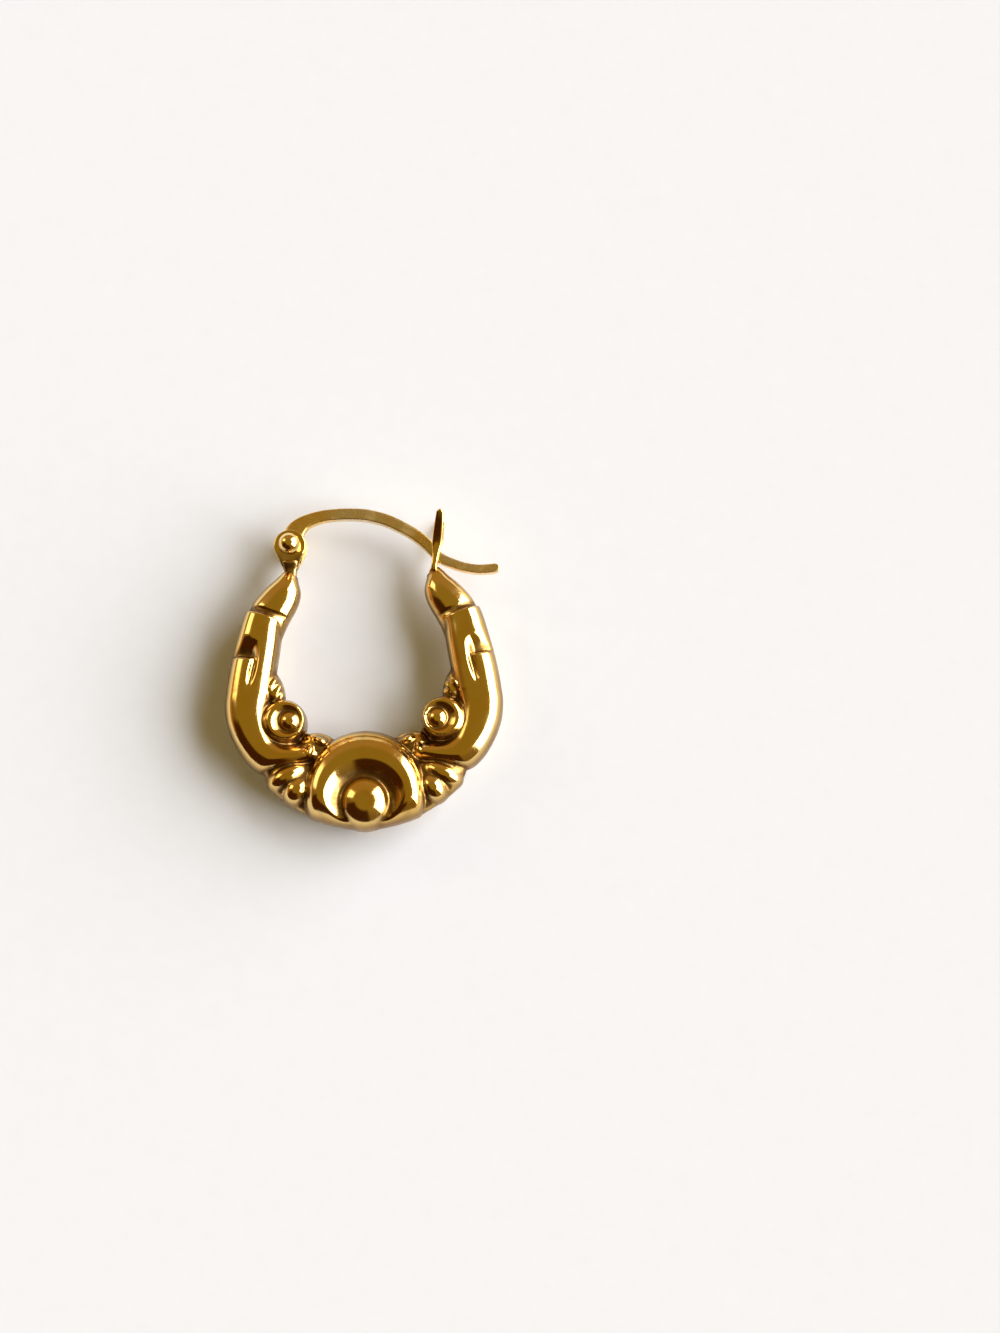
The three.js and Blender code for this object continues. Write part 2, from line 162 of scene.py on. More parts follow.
BAND_SECTIONS = np.array(
    [
        (52.0, 0.22, 0.24, 0.7),
        (46.5, 0.22, 0.4, 0.9),
        (40.5, 0.23, 0.55, 1.0),
        (32.5, 0.21, 0.65, 1.0),
        (23.0, 0.18, 0.8, 1.0),
        (10.0, 0.15, 0.95, 1.0),
        (0.0, 0.145, 1.0, 1.0),
    ],
    dtype=STEM_SECTIONS.dtype,
)
ROUNDING_SECTIONS = np.array(
    [(62.0, -0.17, 1.45, 2.6), (30.0, -0.17, 1.52, 2.6), (0.0, -0.17, 1.65, 2.6)],
    dtype=STEM_SECTIONS.dtype,
)

# Domes of one side: the middle as shares of half the hoop's width and height, its height over
# the seam as a share of half the lying thickness, the sizes as shares of a full petal's, the turn
# in degrees, and how softly it melts into its neighbours in millimetres.
DOME_ROW = [
    ("across", float),
    ("up", float),
    ("lift", float),
    ("length", float),
    ("width", float),
    ("thick", float),
    ("turn", float),
    ("melt", float),
]
PETALS = np.array(
    [
        # Two petals
        (0.55, -0.575, 0.0, 0.88, 1.0, 0.96, -27, 0.1),
        (0.482, -0.679, 0.0, 0.69, 1.12, 1.0, -52, 0.1),
        # A swelling between the shell and the volute, with two beads on it
        (0.35, -0.365, 0.0, 0.86, 1.25, 0.66, 0, 0.15),
        (0.31, -0.32, 0.0, 0.4, 0.48, 0.84, 28, 0.06),
        (0.39, -0.4, 0.0, 0.42, 0.46, 0.9, -72, 0.06),
        # A leaflet over the volute, with three ribs
        (0.662, 0.1, 0.0, 0.9, 0.94, 0.78, 71, 0.2),
        (0.657, 0.104, 0.4, 0.4, 0.22, 0.32, -58, 0.1),
        (0.616, 0.069, 0.34, 0.32, 0.22, 0.32, -58, 0.1),
        (0.592, 0.03, 0.23, 0.2, 0.22, 0.32, -58, 0.1),
    ],
    dtype=DOME_ROW,
)

# Dents pressed into one side's leaf, in the same terms
DENTS = np.array([(0.785, 0.235, 0.8, 0.56, 0.24, 0.17, 104, 0.22)], dtype=DOME_ROW)

# The flat core that the lines look in at, in millimetres outside the middle line
CORE = np.array(
    [
        (138.0, -0.06, -0.06),
        (133.4, -0.6, -0.3),
        (126.6, -0.6, 0.1),
        (121.0, -0.5, 0.4),
        (108.0, -0.55, 0.6),
        (98.0, -0.8, 0.75),
        (88.0, -1.4, 1.0),
        (68.0, -2.0, 1.15),
        (50.0, -2.0, 1.2),
        (31.0, -2.1, 1.8),
        (0.0, -2.45, 2.3),
    ],
    dtype=[("turn", float), ("low", float), ("high", float)],
)


# The spread in degrees of the bell curve that smooths the section tables
BLUR = 1.6


def smooth_column(rows, name, turn):
    """One column of a section table at any turn: straight lines between the rows, blurred with
    a bell curve so that a polished surface shows no corners."""
    step = 0.1
    dense = np.arange(-12.0, 152.0, step)
    order = np.argsort(rows["turn"])
    values = np.interp(dense, rows["turn"][order], rows[name][order])
    bell = np.exp(-0.5 * (np.arange(-6.0, 6.0 + step, step) / BLUR) ** 2)
    padded = np.pad(values, len(bell) // 2, mode="edge")
    blurred = np.convolve(padded, bell / bell.sum(), mode="valid")[: len(dense)]
    return np.interp(turn, dense, blurred)


def station(turn):
    """Point and outward direction of the middle line at a turn in degrees, negative on the left.
    The line is a flat half ellipse below and a tall one above."""
    angle = np.radians(turn)
    tall = np.where(np.abs(turn) < 90, SPINE_DROP, SPINE_RISE)
    x = SPINE_REACH * np.sin(angle)
    y = SPINE_MIDDLE - tall * np.cos(angle)
    out_x = tall * np.sin(angle)
    out_y = -SPINE_REACH * np.cos(angle)
    size = np.hypot(out_x, out_y)
    return x, y, out_x / size, out_y / size


def superellipse(a, b, bulge):
    """(|a|^bulge + |b|^bulge)^(1 / bulge), which is 1 on the rim. A bulge of 2 is an ellipse, and
    a larger one is fuller at the corners."""
    return (np.abs(a) ** bulge + np.abs(b) ** bulge) ** (1 / bulge)


def oval_arm(place, rows, piece, begin=None, end=None, rounded=1.6, dent=0.0, bulge=2.0):
    """Distance to an arm of oval sections: the section's own ellipse, measured in its plane, and
    drawn in like a ball over the last few degrees before begin or end. dent is the share of the
    thickness that is pressed in."""
    turn = np.abs(place["turn"])
    centre = smooth_column(rows, "out", turn) * piece["width"]
    half_width = smooth_column(rows, "width", turn) * piece["width"] / 2
    half_thick = smooth_column(rows, "thick", turn) * piece["thick"] / 2 * (1 - dent)
    over = np.zeros_like(turn)
    for limit, sign in ((end, 1.0), (begin, -1.0)):
        if limit is not None:
            past = np.clip((sign * (turn - limit) + rounded) / rounded, 0.0, 0.999)
            draw = np.sqrt(1.0 - past**2)
            half_width = half_width * draw
            half_thick = half_thick * draw
            over = np.maximum(over, sign * (turn - limit))
    ratio = superellipse((place["across"] - centre) / half_width, place["z"] / half_thick, bulge)
    return (ratio - 1.0) * np.minimum(half_width, half_thick) + PAST_END * over


def step_up(value, low, high):
    """0 below low, 1 above high, and 3 t^2 - 2 t^3 between."""
    share = np.clip((value - low) / (high - low), 0.0, 1.0)
    return share * share * (3 - 2 * share)


def puff(place, x, y, length, width, thick, turn=0.0, lift=0.0, bulge=2.0):
    """Distance to an oval dome: its ellipsoid's ratio less one, times its smallest half size."""
    angle = math.radians(turn)
    dx = place["x"] - x
    dy = place["y"] - y
    along = (dx * math.cos(angle) + dy * math.sin(angle)) / (length / 2)
    aside = (dy * math.cos(angle) - dx * math.sin(angle)) / (width / 2)
    ratio = superellipse(np.hypot(along, aside), (place["z"] - lift) / (thick / 2), bulge)
    return (ratio - 1.0) * min(length, width, thick) / 2


def dome_of(place, row):
    """Distance to one row of the dome tables."""
    return puff(
        place,
        row["across"] * HALF_WIDTH,
        row["up"] * HALF_HEIGHT,
        row["length"] * PETAL["length"],
        row["width"] * PETAL["width"],
        row["thick"] * PETAL["thick"],
        row["turn"],
        row["lift"] * HALF_LYING,
    )


def ridged_disc(place, rim, eye, thick, crest=0.4, floor=0.58, lip=0.0):
    """Distance to a dished disc. A share runs from 0 on the rim's circle to 1 on the eye's,
    through the circles between them. The height rises from the rim to the crest as a quarter
    ellipse, then falls in a half cosine to the floor. lip is how deep a fine line runs round
    inside the rim, as a share of the height."""
    shift_x = eye[0] - rim[0]
    shift_y = eye[1] - rim[1]
    shrink = eye[2] - rim[2]
    dx = place["x"] - rim[0]
    dy = place["y"] - rim[1]
    a = shift_x**2 + shift_y**2 - shrink**2
    b = dx * shift_x + dy * shift_y + rim[2] * shrink
    c = dx**2 + dy**2 - rim[2] ** 2
    share = (b + np.sqrt(np.maximum(b**2 - a * c, 0.0))) / a
    half = thick / 2 * (1 - lip * np.exp(-(((share - LIP_PLACE) / LIP_WIDTH) ** 2)))
    outer = (np.hypot(np.minimum(share - crest, 0.0) / crest, place["z"] / half) - 1.0) * half
    fallen = np.clip((share - crest) / (FALL_END - crest), 0.0, 1.0)
    fall = 0.5 + 0.5 * np.cos(np.pi * fallen)
    inner = np.abs(place["z"]) - half * (floor + (1 - floor) * fall)
    return np.where(share < crest, outer, inner)


def join(first, second, melt):
    """The smaller of two distances, rounded where they are within melt of each other."""
    share = np.clip(0.5 + 0.5 * (second - first) / melt, 0.0, 1.0)
    return second + (first - second) * share - melt * share * (1 - share)


def cut(first, second, melt):
    """The first form without the second, with a rounded edge."""
    return -join(-first, second, melt)


# Turns in degrees between which the leaf's upper lobe slopes down, and then steps up again
FOLD_START = 110.0
FOLD_FOOT = 102.4
FOLD_TOP = 101.2
FOLD_DEPTH = 0.4

# Where across the leaf the fold begins and is full, in millimetres outside the middle line
FOLD_SIDE = (-0.2, 0.5)


def fold(turn, across):
    """How far the leaf's outer half is pressed in where one lobe of it folds under the next: a
    slow slope down the upper lobe and a short step up to the lower one."""
    degrees = np.abs(turn)
    slope = 1 - step_up(degrees, FOLD_FOOT, FOLD_START)
    step = step_up(degrees, FOLD_TOP, FOLD_FOOT)
    return FOLD_DEPTH * slope * step * step_up(across, *FOLD_SIDE)


# The line pressed into the stem where the leaf's lip lies on it: turn in degrees, half its width
# there, and its depth as a share of the thickness
LIP_LINE_TURN = 119.6
LIP_LINE_WIDTH = 0.8
LIP_LINE_DEPTH = 0.12

# Where the arms end, as turns in degrees
STEM_BEGIN = 106.0
LEAF_BEGIN = 29.5
LEAF_END = 118.6
LEAF_ROUNDED = 1.2
BAND_END = 52.0
BAND_ROUNDED = 5.0

# How full the sections are, as the exponents of their superellipses. The leaf's grows from its
# low to its high value between two turns.
STEM_BULGE = 2.1
LEAF_BULGE = {"low": 1.9, "high": 2.5, "from": 48.0, "to": 78.0}
BOSS_BULGE = 2.15
EYE_BULGE = 2.2

# The shell: its middle and the boss's over the hoop's lowest point, as shares of their radii, the
# circle inside its dish as a share of the boss's radius, and its dish
SHELL_RISE = 0.64
BOSS_RISE = 0.98
SHELL_INNER = 0.96
SHELL_DISH = {"crest": 0.48, "floor": 0.64, "lip": 0.045}

# The boss's dome, whose foot is hidden in the dish, as a share of the boss's radius
BOSS_FOOT = 1.2

# The volutes: the middle as shares of half the hoop's width and height, the eye's shift as shares
# of the volute's radius, the circle inside the dish and the eye's foot as shares of the eye's
# radius, and the dish
VOLUTE_PLACE = (0.571, -0.163)
EYE_SHIFT = (-0.28, -0.04)
VOLUTE_INNER = 0.8
EYE_FOOT = 1.4
VOLUTE_DISH = {"crest": 0.42, "floor": 0.84}

# How softly the forms melt into each other, in millimetres
MELT = {
    "stem": 0.1,
    "leaf": 0.06,
    "volute": 0.42,
    "eye": 0.08,
    "shell": 0.06,
    "boss": 0.08,
    "rounding": 0.35,
}


def hoop_distance(turn, across, z):
    """Distance to the whole hoop, below zero inside it. Both sides and both faces are alike, so
    it is worked out with x and z above zero."""
    x0, y0, out_x, out_y = station(np.abs(turn))
    place = {
        "turn": turn,
        "across": across,
        "x": x0 + across * out_x,
        "y": y0 + across * out_y,
        "z": np.abs(z),
    }
    line = np.exp(-(((np.abs(turn) - LIP_LINE_TURN) / LIP_LINE_WIDTH) ** 2))
    stem = oval_arm(
        place, STEM_SECTIONS, STEM, STEM_BEGIN, dent=LIP_LINE_DEPTH * line, bulge=STEM_BULGE
    )
    full = step_up(np.abs(turn), LEAF_BULGE["from"], LEAF_BULGE["to"])
    bulge = LEAF_BULGE["low"] + (LEAF_BULGE["high"] - LEAF_BULGE["low"]) * full
    pressed = fold(turn, across)
    leaf = oval_arm(
        place, LEAF_SECTIONS, LEAF, LEAF_BEGIN, LEAF_END, LEAF_ROUNDED, pressed, bulge
    )
    for row in DENTS:
        leaf = cut(leaf, dome_of(place, row), row["melt"])
    band = oval_arm(place, BAND_SECTIONS, BAND, end=BAND_END, rounded=BAND_ROUNDED)

    rim = (0.0, SHELL_RISE * SHELL_RADIUS - HALF_HEIGHT, SHELL_RADIUS)
    inner = (0.0, BOSS_RISE * BOSS_RADIUS - HALF_HEIGHT, SHELL_INNER * BOSS_RADIUS)
    shell = ridged_disc(place, rim, inner, SHELL_THICKNESS, **SHELL_DISH)
    rounding = oval_arm(place, ROUNDING_SECTIONS, BAND)
    shell = -join(-shell, -rounding, MELT["rounding"])
    foot = BOSS_FOOT * BOSS_RADIUS
    boss = puff(
        place, 0.0, foot - HALF_HEIGHT, 2 * foot, 2 * foot, LYING_THICKNESS, bulge=BOSS_BULGE
    )

    scroll = (VOLUTE_PLACE[0] * HALF_WIDTH, VOLUTE_PLACE[1] * HALF_HEIGHT, VOLUTE_RADIUS)
    eye_x = scroll[0] + EYE_SHIFT[0] * VOLUTE_RADIUS
    eye_y = scroll[1] + EYE_SHIFT[1] * VOLUTE_RADIUS
    inner = (eye_x, eye_y, VOLUTE_INNER * EYE_RADIUS)
    volute = ridged_disc(place, scroll, inner, VOLUTE_THICKNESS, **VOLUTE_DISH)
    wide = 2 * EYE_FOOT * EYE_RADIUS
    eye = puff(place, eye_x, eye_y, wide, wide, EYE_THICKNESS, bulge=EYE_BULGE)

    whole = join(band, stem, MELT["stem"])
    for row in PETALS:
        whole = join(whole, dome_of(place, row), row["melt"])
    whole = join(whole, leaf, MELT["leaf"])
    whole = join(whole, volute, MELT["volute"])
    whole = join(whole, eye, MELT["eye"])
    whole = join(whole, shell, MELT["shell"])
    return join(whole, boss, MELT["boss"])


def level_lone_rings(reach):
    """Brings a ring that stands out past both its neighbours back to the farther of them, and one
    that lies deeper than both up to the nearer, so that no single ring is a fin or a slit."""
    padded = np.pad(reach, ((1, 1), (0, 0)), mode="edge")
    before = padded[:-2]
    after = padded[2:]
    level = np.minimum(reach, np.maximum(before, after))
    return np.maximum(level, np.minimum(before, after))


def hoop_skin():
    """A grid of points on the hoop. Each ring's lines look in at a flat core from all round:
    straight down and up on the faces, and fanned about the core's ends. Each line finds the first
    step that is inside the hoop and then halves that step again and again."""
    dense = np.linspace(0, NECK_TURN, SPINE_SAMPLES)
    x, y, _, _ = station(dense)
    length = np.concatenate([[0], np.cumsum(np.hypot(np.diff(x), np.diff(y)))])
    half = np.interp(np.linspace(0, length[-1], SKIN_STATIONS // 2), length, dense)
    turn = np.concatenate([-half[:0:-1], half])[:, None]
    low = smooth_column(CORE, "low", np.abs(turn))
    high = smooth_column(CORE, "high", np.abs(turn))
    corner = np.arange(SKIN_QUARTER) / SKIN_QUARTER * 90
    face = (np.arange(SKIN_FACE) + 0.5) / SKIN_FACE
    still = np.zeros(SKIN_FACE)
    angles = [corner, still + 90, corner + 90, corner + 180, still + 270, corner + 270]
    shares = [0 * corner + 1, 1 - face, 0 * corner, 0 * corner, face, 0 * corner + 1]
    angle = np.radians(np.concatenate(angles))[None, :]
    share = np.concatenate(shares)[None, :]
    origin = low + (high - low) * share
    aside = np.broadcast_to(np.cos(angle), origin.shape)
    upward = np.broadcast_to(np.sin(angle), origin.shape)
    turn = np.broadcast_to(turn, origin.shape)

    def distance(reach):
        return hoop_distance(turn, origin + reach * aside, reach * upward)

    reach = np.full(origin.shape, SEARCH_START)
    searching = np.ones(origin.shape, bool)
    while searching.any() and reach.min() > SEARCH_END:
        searching &= distance(reach) > 0
        reach = np.where(searching, reach - SEARCH_STEP, reach)
    inside = reach
    outside = reach + SEARCH_STEP
    for _ in range(SEARCH_HALVINGS):
        middle = (inside + outside) / 2
        hit = distance(middle) < 0
        inside = np.where(hit, middle, inside)
        outside = np.where(hit, outside, middle)
    outside = level_lone_rings(outside)
    across = origin + outside * aside
    x0, y0, out_x, out_y = station(turn)
    skin = np.stack([x0 + across * out_x, y0 + across * out_y, outside * upward], axis=-1)
    return skin, creases(outside)


def facing_up(skin):
    """The z of the unit normal at each point of a skin, from the crossed steps to its
    neighbours along and round it."""
    along = np.gradient(skin, axis=0)
    round_it = np.roll(skin, -1, axis=1) - np.roll(skin, 1, axis=1)
    normal = np.cross(along, round_it)
    return normal[..., 2] / (np.linalg.norm(normal, axis=-1) + 1e-9)


def creases(reach):
    """How far each point lies below the smoothed skin round it, from 0 on a crest to 1 in a
    deep crease."""
    smooth = reach
    for shift in CREASE_PASSES:
        smooth = (np.roll(smooth, shift, axis=1) + smooth + np.roll(smooth, -shift, axis=1)) / 3
        padded = np.pad(smooth, ((shift, shift), (0, 0)), mode="edge")
        smooth = (padded[: -2 * shift] + smooth + padded[2 * shift :]) / 3
    return np.clip((smooth - reach) / CREASE_DEPTH, 0.0, 1.0)


RIVET_LOW, RIVET_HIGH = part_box("hinge_rivet")
NECK_X, NECK_Y, _, _ = (float(v) for v in station(np.array(NECK_TURN)))
RIVET = np.array([-NECK_X, NECK_Y + HINGE_RISE, 0.0])
HOOP_MIDDLE = np.array((RIVET_LOW + RIVET_HIGH) / 2) - RIVET * MM


# How much painted shade darkens the foot of the hinge, and how far under the rivet it begins and
# is full, in cheek radii
HINGE_SHADE = 0.75
HINGE_SHADE_DEPTH = (0.2, 1.0)

# The first mark is 1 deep in a crease, where it paints patina and painted shade, and in the foot
# of the hinge, where it paints shade; the second is 1 on the steep sides, where it paints shade
# that dims the floor's reflection in them
MARKS = ("hollow", "flank")

# How much a side faces up or down, as the z of its unit normal, where the painted shade on the
# flank is full and where it ends
FLANK_SHADE = (0.32, 0.76)


def skin_faces(skin):
    """Points and faces of a closed skin. The rings run so that the way from one to the next,
    crossed with the way round, points outwards. Each end is closed by a fan to its middle, or
    the last ring is welded to the first where the two are the same."""
    wrapped = np.allclose(skin[0], skin[-1])
    if wrapped:
        skin = skin[:-1]
    rows, columns, _ = skin.shape
    row = np.arange(rows if wrapped else rows - 1)[:, None] * columns
    after = (row + columns) % (rows * columns)
    ring = np.arange(columns)
    beside = (ring + 1) % columns
    faces = np.stack([row + ring, after + ring, after + beside, row + beside], axis=-1)
    faces = faces.reshape(-1, 4).tolist()
    points = skin.reshape(-1, 3)
    if wrapped:
        return points, faces
    last = (rows - 1) * columns
    first_middle = rows * columns
    faces.extend((first_middle, int(a), int(b)) for a, b in zip(ring, beside))
    faces.extend((first_middle + 1, int(b) + last, int(a) + last) for a, b in zip(ring, beside))
    ends = np.stack([skin[0].mean(axis=0), skin[-1].mean(axis=0)])
    return np.concatenate([points, ends]), faces


def make_piece(name, skins, body, slot_name, material, replaced, **marks):
    """One smooth-shaded piece from closed skins in millimetres, which rides on a CAD body and
    stands for a CAD node. Each of MARKS is a number at every point: 0 unless it is given, as the
    first skin's own numbers or as a function of the points."""
    points = []
    faces = []
    offset = 0
    for skin in skins:
        own_points, own_faces = skin_faces(skin)
        points.append(own_points)
        faces.extend([offset + corner for corner in face] for face in own_faces)
        offset += len(own_points)
    points = np.concatenate(points)
    mesh = bpy.data.meshes.new(name)
    mesh.from_pydata((points * MM + HOOP_MIDDLE).tolist(), [], faces)
    mesh.polygons.foreach_set("use_smooth", np.ones(len(mesh.polygons), bool))
    mesh.update()
    for mark in MARKS:
        values = np.zeros(len(mesh.vertices), dtype=np.float32)
        given = marks.get(mark)
        if callable(given):
            values[:] = given(points)
        elif given is not None:
            values[: given.size] = given.ravel()
        mesh.attributes.new(mark, "FLOAT", "POINT").data.foreach_set("value", values)
    piece = bpy.data.objects.new(name, mesh)
    bpy.context.scene.collection.objects.link(piece)
    mesh.materials.append(material)
    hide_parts(replaced)
    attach(piece, body)
    return piece


def mirrored(skin, axis):
    """A skin's copy on the other side of x 0 or z 0, still facing outwards."""
    sign = np.ones(3)
    sign[axis] = -1
    return skin[:, ::-1] * sign


def smooth_rows(rows, count):
    """Catmull-Rom curve through the rows of an array, as that many rows evenly over them."""
    padded = np.concatenate([2 * rows[:1] - rows[1:2], rows, 2 * rows[-1:] - rows[-2:-1]])
    place = np.linspace(0, len(rows) - 1, count)
    start = np.minimum(place.astype(int), len(rows) - 2)
    t = (place - start)[:, None]
    a, b, c, d = (padded[start + step] for step in range(4))
    return b + 0.5 * t * (c - a + t * (2 * a - 5 * b + 4 * c - d + t * (3 * (b - c) + d - a)))


def bar(path, width, thick, corner=5.0, around=28):
    """A bar whose section at each path point is a superellipse, |w|^corner + |t|^corner = 1, with
    its thickness as near to z as the path lets it be."""
    ahead = np.gradient(path, axis=0)
    ahead /= np.linalg.norm(ahead, axis=1, keepdims=True)
    up = np.array([0.0, 0.0, 1.0]) - ahead * ahead[:, 2:3]
    up /= np.linalg.norm(up, axis=1, keepdims=True)
    aside = np.cross(ahead, up)
    angle = np.linspace(0, 2 * np.pi, around, endpoint=False)
    w = np.sign(np.cos(angle)) * np.abs(np.cos(angle)) ** (2 / corner)
    t = np.sign(np.sin(angle)) * np.abs(np.sin(angle)) ** (2 / corner)
    half_width = np.broadcast_to(width, len(path))[:, None] / 2
    half_thick = np.broadcast_to(thick, len(path))[:, None] / 2
    return (
        path[:, None]
        + aside[:, None] * (half_width * w)[..., None]
        + up[:, None] * (half_thick * t)[..., None]
    )


def round_end(path, half_width):
    """Share of the width near the end of a path, so that it ends in a half circle seen flat."""
    step = np.linalg.norm(np.diff(path, axis=0), axis=1)
    left = np.concatenate([np.cumsum(step[::-1])[::-1], [0.0]])
    past = np.clip(1 - left / half_width, 0, 0.995)
    return np.sqrt(1 - past**2)


# A plate's first ring on each flat lies this many roundings in from the edge, and each of its
# edges is rounded by this many rings
FLAT_RING = 2.5
EDGE_RINGS = 7


def plate(outline, low, high, rounding):
    """A flat plate with rounded edges: the outline, anticlockwise, drawn in along its normals by
    rounding * (1 - sin a) while z falls by rounding * (1 - cos a), on top and again below."""
    along = np.roll(outline, -1, axis=0) - np.roll(outline, 1, axis=0)
    inward = np.stack([-along[:, 1], along[:, 0]], axis=1) / np.hypot(*along.T)[:, None]
    angle = np.linspace(0, np.pi / 2, EDGE_RINGS)
    inset = np.concatenate([[FLAT_RING * rounding], rounding * (1 - np.sin(angle))])
    fall = np.concatenate([[0.0], rounding * (1 - np.cos(angle))])
    inset = np.concatenate([inset, inset[::-1]])
    z = np.concatenate([high - fall, low + fall[::-1]])
    flat = outline[None] + inward[None] * inset[:, None, None]
    return np.concatenate([flat, np.broadcast_to(z[:, None, None], (*flat.shape[:2], 1))], axis=2)


def soft_outline(corners, count, softness):
    """An outline with softened corners: the closed polygon's points at even steps, blurred round
    it by a bell curve of that width."""
    closed = np.concatenate([corners, corners[:1]])
    length = np.concatenate([[0], np.cumsum(np.hypot(*np.diff(closed, axis=0).T))])
    places = np.linspace(0, length[-1], count, endpoint=False)
    points = np.stack([np.interp(places, length, closed[:, k]) for k in (0, 1)], axis=1)
    away = np.minimum(places, length[-1] - places)
    bell = np.exp(-0.5 * (away / softness) ** 2)
    spectrum = np.fft.fft(bell / bell.sum())[:, None]
    return np.real(np.fft.ifft(np.fft.fft(points, axis=0) * spectrum, axis=0))


def turned(radius, z, centre, around=64):
    """A skin of revolution about a line along z, from its profile listed from the top down."""
    angle = np.linspace(0, 2 * np.pi, around, endpoint=False)
    x = centre[0] + radius[:, None] * np.cos(angle)
    y = centre[1] + radius[:, None] * np.sin(angle)
    return np.stack([x, y, np.broadcast_to(z[:, None], x.shape)], axis=-1)


# The rivet: the rings of each ball, the gap under it, the height of the ring next to the pin's
# middle, and the angle of the first ring from the ball's pole in radians
BALL_RINGS = 30
BALL_GAP = 0.02
PIN_RING = 0.1
POLE_ANGLE = 0.02


def rivet():
    """A pin with a ball at each end, in one profile from pole to pole."""
    centre = HALF_LYING - BALL_RADIUS
    foot = CHEEK_FACE + BALL_GAP
    angle = np.linspace(POLE_ANGLE, math.acos((foot - centre) / BALL_RADIUS), BALL_RINGS)
    radius = np.concatenate([BALL_RADIUS * np.sin(angle), [RIVET_RADIUS, RIVET_RADIUS]])
    z = np.concatenate([centre + BALL_RADIUS * np.cos(angle), [foot, PIN_RING]])
    return turned(np.append(radius, radius[::-1]), np.append(z, -z[::-1]), RIVET)


# A cheek of the hinge: the points of its arc and of its whole outline, the ends of its arc in
# degrees, its foot's half width and drop under the rivet, how round its corners and its edges are,
# and the lean of its foot towards the block
CHEEK_POINTS = {"arc": 60, "outline": 120}
CHEEK_ARC = (-38, 218)
CHEEK_FOOT = {"half": 0.52, "drop": 1.45}
CHEEK_CORNER = 0.05
CHEEK_EDGE = 0.09
CHEEK_LEAN = {"start": 0.6, "length": 0.85, "by": 0.33}

# The block that the cheeks stand on, whose top just clears the wire's disc: the rise over the
# neck, the width and the thickness, all in millimetres
BLOCK_TOP = HINGE_RISE - HINGE_DISC_RADIUS - SIDE_CLEARANCE
BLOCK_SECTIONS = np.array(
    [
        (-0.45, 0.84, 0.84),
        (-0.1, 0.8, 0.8),
        (0.1, 0.84, 0.84),
        (0.3, 1.0, 1.0),
        (0.45, 1.12, 1.16),
        (0.6, 1.2, 1.36),
        (BLOCK_TOP - 0.04, 1.24, 1.52),
        (BLOCK_TOP, 1.16, 1.44),
    ],
    dtype=[("rise", float), ("width", float), ("thick", float)],
)
BLOCK_CORNER = 3.4


def neck_block(sections, x):
    """A block that rises from a neck of the hoop, from the table of its sections."""
    rise = NECK_Y + sections["rise"]
    path = np.stack([np.full(len(rise), x), rise, np.zeros(len(rise))], axis=1)
    return bar(path, sections["width"], sections["thick"], BLOCK_CORNER)


def hinge_fork():
    """Two teardrop cheeks on a block that widens from the neck to hold them apart."""
    angle = np.radians(np.linspace(*CHEEK_ARC, CHEEK_POINTS["arc"]))
    arc = CHEEK_RADIUS * np.stack([np.cos(angle), np.sin(angle)], axis=1)
    foot = np.array([(side * CHEEK_FOOT["half"], -CHEEK_FOOT["drop"]) for side in (-1, 1)])
    corners = np.concatenate([arc, foot])
    outline = soft_outline(corners, CHEEK_POINTS["outline"], CHEEK_CORNER) + RIVET[:2]
    cheek = plate(outline, SLOT_HALF, CHEEK_FACE, CHEEK_EDGE)
    below = (RIVET[1] - CHEEK_LEAN["start"] - cheek[..., 1]) / CHEEK_LEAN["length"]
    outer = (cheek[..., 2] - SLOT_HALF) / CHEEK_THICKNESS
    cheek[..., 2] -= CHEEK_LEAN["by"] * np.clip(below, 0.0, 1.0) * outer
    return [cheek, mirrored(cheek, 2), neck_block(BLOCK_SECTIONS, RIVET[0])]


def hinge_shade(points):
    """Painted shade in the foot of the hinge, darker with the depth under the rivet."""
    return HINGE_SHADE * step_up((RIVET[1] - points[:, 1]) / CHEEK_RADIUS, *HINGE_SHADE_DEPTH)


# Each row is a place up a prong of the catch: the rise and the width as shares of the whole
# prong's, and how far its middle stands from the seam as a share of half the lying thickness.
PRONG_SECTIONS = np.array(
    [
        (0.0, 0.62, 0.25),
        (0.06, 0.58, 0.29),
        (0.14, 0.58, 0.3),
        (0.28, 0.72, 0.3),
        (0.41, 0.92, 0.33),
        (0.55, 1.0, 0.45),
        (0.7, 0.95, 0.61),
        (0.85, 0.84, 0.77),
        (1.0, 0.7, 0.91),
    ],
    dtype=[("rise", float), ("width", float), ("apart", float)],
)

# A prong's rings, the half width where its round tip begins, the tip's thickness as a share of
# the foot's, and how square its section is
PRONG_STEPS = 60
PRONG_TIP = 0.24
PRONG_TAPER = 0.72
PRONG_CORNER = 3.2

# The foot that both prongs rise from, all in millimetres, with the rise over the neck
CATCH_FOOT_SECTIONS = np.array(
    [
        (-0.5, 0.8, 0.84),
        (-0.1, 0.72, 0.84),
        (0.05, 0.55, 1.12),
        (0.15, 0.44, 1.32),
        (0.19, 0.38, 1.24),
    ],
    dtype=BLOCK_SECTIONS.dtype,
)


def catch_fork():
    """Two thin prongs that lean outwards, flare apart like a funnel and rise from one foot."""
    rows = np.stack([PRONG_SECTIONS[name] for name in PRONG_SECTIONS.dtype.names], axis=1)
    rise, width, apart = smooth_rows(rows, PRONG_STEPS).T
    x = NECK_X + rise * CATCH_LEAN
    path = np.stack([x, NECK_Y + rise * CATCH_HEIGHT, apart * HALF_LYING], axis=1)
    width = width * PRONG_WIDTH * round_end(path, PRONG_TIP)
    thick = PRONG_THICKNESS * np.linspace(1.0, PRONG_TAPER, PRONG_STEPS)
    prong = bar(path, width, thick, PRONG_CORNER)
    return [prong, mirrored(prong, 2), neck_block(CATCH_FOOT_SECTIONS, NECK_X)]


